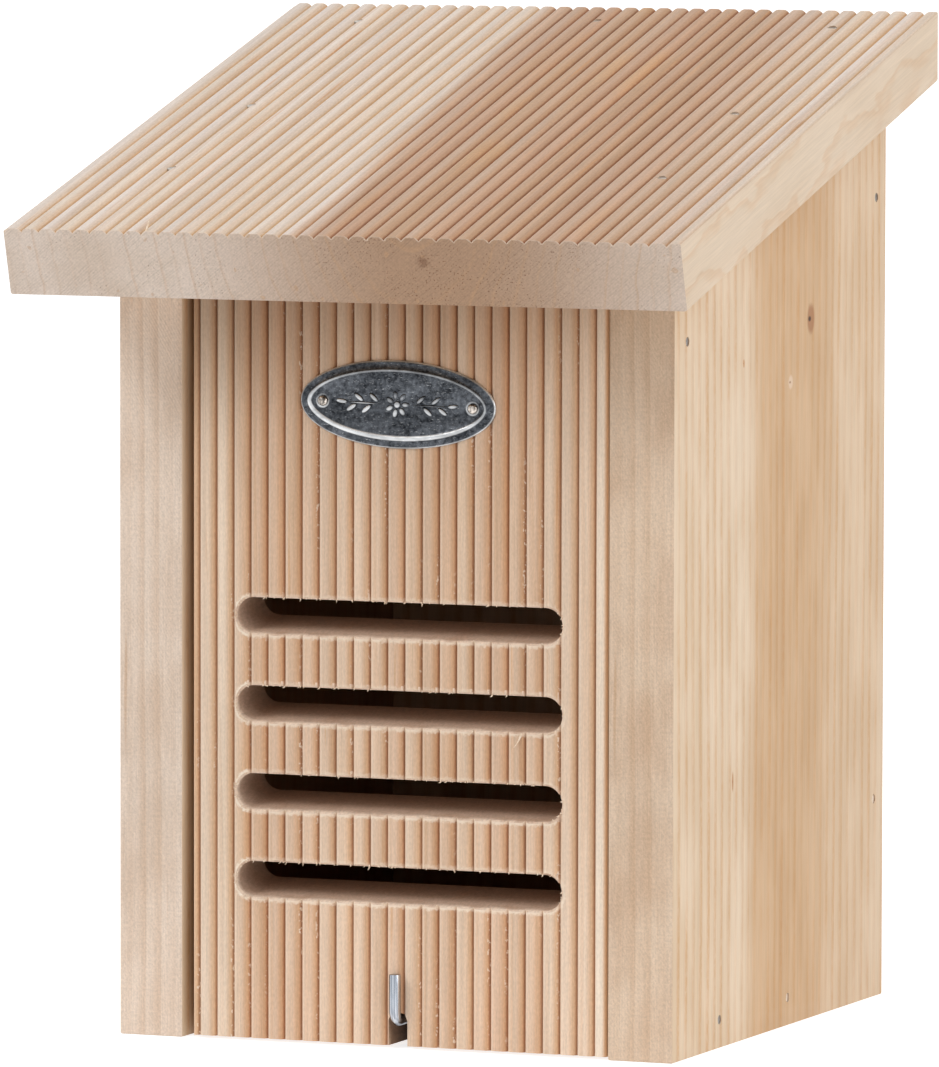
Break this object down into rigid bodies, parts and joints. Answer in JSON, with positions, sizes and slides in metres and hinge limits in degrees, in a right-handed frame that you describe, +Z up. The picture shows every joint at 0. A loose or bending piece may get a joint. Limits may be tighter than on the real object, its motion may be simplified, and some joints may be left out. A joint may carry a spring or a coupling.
{
  "type": "ladybird house",
  "caption": "Small wooden insect house with a sloping ribbed roof, a slotted top-hung front panel, a wire hook latch and a keyhole hanger on its back.",
  "frame": {"origin": "middle of the box's underside, halfway between the side walls' front and back edges", "axes": "+Z up, -Y out of the front panel, +Y out of the back, +X to the right seen from the front"},
  "size_m": [0.188, 0.1958, 0.267],
  "materials": {
    "plain_wood": "planed, untreated",
    "ribbed_wood": "machined ribs, untreated",
    "bright_steel": "bright wire steel",
    "hook_zinc": "bright zinc plate",
    "plate_zinc": "stamped, darkened zinc",
    "hanger_zinc": "galvanised sheet"
  },
  "bodies": {
    "box": {"left_wall": "plain_wood", "right_wall": "plain_wood", "back_panel": "plain_wood", "floor_board": "plain_wood", "roof_board": "ribbed_wood", "pivot_nail_left": "bright_steel", "floor_nails_left": "bright_steel", "back_nails_left": "bright_steel", "roof_nails_left": "bright_steel", "pivot_nail_right": "bright_steel", "floor_nails_right": "bright_steel", "back_nails_right": "bright_steel", "roof_nails_right": "bright_steel", "roof_nail_back": "bright_steel", "hanger_plate": "hanger_zinc", "hanger_screws": "bright_steel"},
    "swing_panel": {"front_panel": "ribbed_wood", "name_plate": "plate_zinc", "name_plate_pins": "bright_steel"},
    "latch": {"latch_hook": "hook_zinc"}
  },
  "joints": [
    {"name": "panel_swing", "type": "hinge", "parent": "box", "child": "swing_panel", "pos_m": [0, -0.07, 0.186], "axis": [-1, 0, 0], "range_deg": [0, 90]},
    {"name": "latch_turn", "type": "hinge", "parent": "box", "child": "latch", "pos_m": [0.0013, -0.06, 0.0075], "axis": [0, -1, 0], "range_deg": [0, 180]}
  ]
}
